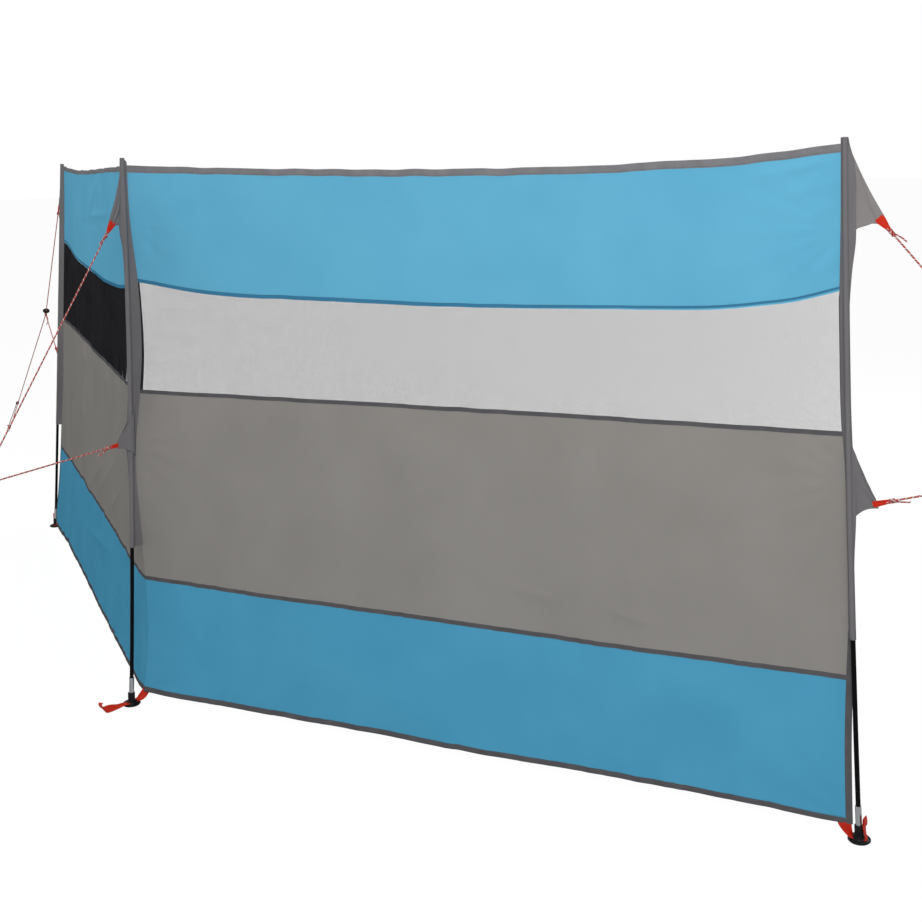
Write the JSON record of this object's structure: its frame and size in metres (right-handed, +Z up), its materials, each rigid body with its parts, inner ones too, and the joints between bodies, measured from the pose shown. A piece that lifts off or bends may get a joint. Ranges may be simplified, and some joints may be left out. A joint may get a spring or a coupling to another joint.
{
  "type": "beach windbreak",
  "caption": "Free-standing cloth windbreak of bays set at an angle, on sleeved poles with feet and guy lines, with a see-through mesh band.",
  "frame": {"origin": "on the ground, at the centre of the middle foot's underside", "axes": "+Z up, -Y towards the windward side along the middle guy line, +X along the width"},
  "size_m": [7.2376, 2.6327, 1.4309],
  "materials": {
    "blue_cloth": "coated plain-weave polyester, soft sheen",
    "grey_cloth": "coated plain-weave polyester, soft sheen",
    "black_mesh": "fine open net",
    "grey_binding": "woven edge tape",
    "grey_sleeve_cloth": "heavier plain-weave polyester",
    "black_fibreglass": "pultruded, satin",
    "aluminium": "drawn tube",
    "black_plastic": "moulded",
    "red_webbing": "woven webbing",
    "striped_rope": "braided",
    "steel": "drawn wire, zinc plated"
  },
  "bodies": {
    "root": {"left_pole": "black_fibreglass", "left_ferrule": "aluminium", "left_foot": "black_plastic", "left_foot_strap": "red_webbing", "left_sleeve": "grey_sleeve_cloth", "left_guy_flaps": "grey_sleeve_cloth", "left_guy_tabs": "red_webbing", "left_guy_line": "striped_rope", "left_guy_disc": "black_plastic", "left_guy_runner": "black_plastic", "left_guy_peg": "steel", "middle_pole": "black_fibreglass", "middle_ferrule": "aluminium", "middle_foot": "black_plastic", "middle_foot_strap": "red_webbing", "middle_sleeve": "grey_sleeve_cloth", "middle_guy_flaps": "grey_sleeve_cloth", "middle_guy_tabs": "red_webbing", "middle_guy_line": "striped_rope", "middle_guy_disc": "black_plastic", "middle_guy_runner": "black_plastic", "middle_guy_peg": "steel", "right_pole": "black_fibreglass", "right_ferrule": "aluminium", "right_foot": "black_plastic", "right_foot_strap": "red_webbing", "right_sleeve": "grey_sleeve_cloth", "right_guy_flaps": "grey_sleeve_cloth", "right_guy_tabs": "red_webbing", "right_guy_line": "striped_rope", "right_guy_disc": "black_plastic", "right_guy_runner": "black_plastic", "right_guy_peg": "steel", "left_upper_panel": "blue_cloth", "left_mesh_window": "black_mesh", "left_middle_panel": "grey_cloth", "left_lower_panel": "blue_cloth", "left_top_binding": "grey_binding", "left_hem_binding": "grey_binding", "right_upper_panel": "blue_cloth", "right_mesh_window": "black_mesh", "right_middle_panel": "grey_cloth", "right_lower_panel": "blue_cloth", "right_top_binding": "grey_binding", "right_hem_binding": "grey_binding"}
  },
  "joints": []
}
